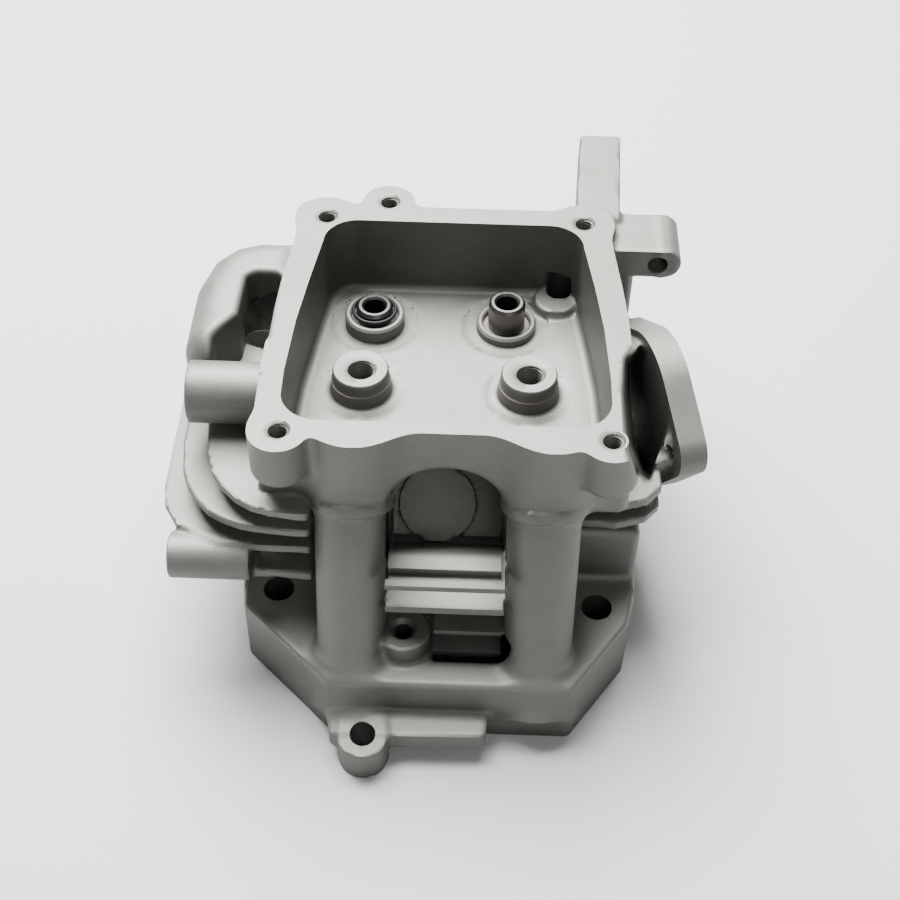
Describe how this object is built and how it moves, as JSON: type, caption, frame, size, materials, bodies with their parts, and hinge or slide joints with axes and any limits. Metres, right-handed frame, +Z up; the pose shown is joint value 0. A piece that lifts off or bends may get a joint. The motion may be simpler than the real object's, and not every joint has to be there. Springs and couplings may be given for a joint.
{
  "type": "engine cylinder head",
  "caption": "Die-cast aluminium cylinder head of an air-cooled overhead-valve engine, bare, with rocker box, push-rod tubes, ports, cooling fins, pressed valve guides and seats.",
  "frame": {"origin": "middle of the overall footprint, on the gasket (deck) plane", "axes": "+Z up from the gasket face towards the rocker cover; -Y towards the push-rod side; +X towards the intake flange"},
  "size_m": [0.154, 0.184, 0.093],
  "materials": {
    "cast_aluminium": "matte, bead-blasted die casting",
    "guide_steel": "satin turned",
    "clip_steel": "blackened spring steel",
    "seat_steel": "ground"
  },
  "bodies": {
    "root": {"bracket_arm": "cast_aluminium", "bracket_ear": "cast_aluminium", "cover_screw_boss_front_left": "cast_aluminium", "cover_screw_boss_front_right": "cast_aluminium", "cover_screw_boss_rear_left": "cast_aluminium", "cover_screw_boss_rear_right": "cast_aluminium", "deck_flange": "cast_aluminium", "exhaust_fin_1": "cast_aluminium", "exhaust_fin_2": "cast_aluminium", "exhaust_fin_3": "cast_aluminium", "exhaust_fin_4": "cast_aluminium", "exhaust_port_housing": "cast_aluminium", "front_ledge_lug": "cast_aluminium", "intake_fin_1": "cast_aluminium", "intake_fin_2": "cast_aluminium", "intake_flange": "cast_aluminium", "intake_runner": "cast_aluminium", "intake_side_block": "cast_aluminium", "oil_drain_boss": "cast_aluminium", "passage_baffle": "cast_aluminium", "passage_fin_1": "cast_aluminium", "passage_fin_2": "cast_aluminium", "passage_fin_3": "cast_aluminium", "passage_front_block": "cast_aluminium", "port_body_exhaust_lower": "cast_aluminium", "port_body_exhaust_upper": "cast_aluminium", "port_body_intake_lower": "cast_aluminium", "port_body_intake_upper": "cast_aluminium", "push_rod_tube_left": "cast_aluminium", "push_rod_tube_right": "cast_aluminium", "rocker_box_floor": "cast_aluminium", "rocker_box_front_wall": "cast_aluminium", "rocker_box_left_wall": "cast_aluminium", "rocker_box_rear_wall": "cast_aluminium", "rocker_box_right_wall": "cast_aluminium", "rocker_stud_boss_exhaust": "cast_aluminium", "rocker_stud_boss_intake": "cast_aluminium", "shroud_boss_lower": "cast_aluminium", "shroud_boss_upper": "cast_aluminium", "small_tapped_boss": "cast_aluminium", "spark_plug_well_wall": "cast_aluminium", "valve_guide_clip": "clip_steel", "valve_guide_exhaust": "guide_steel", "valve_guide_hub_exhaust": "cast_aluminium", "valve_guide_hub_intake": "cast_aluminium", "valve_guide_intake": "guide_steel", "valve_seat_exhaust": "seat_steel", "valve_seat_intake": "seat_steel"}
  },
  "joints": []
}
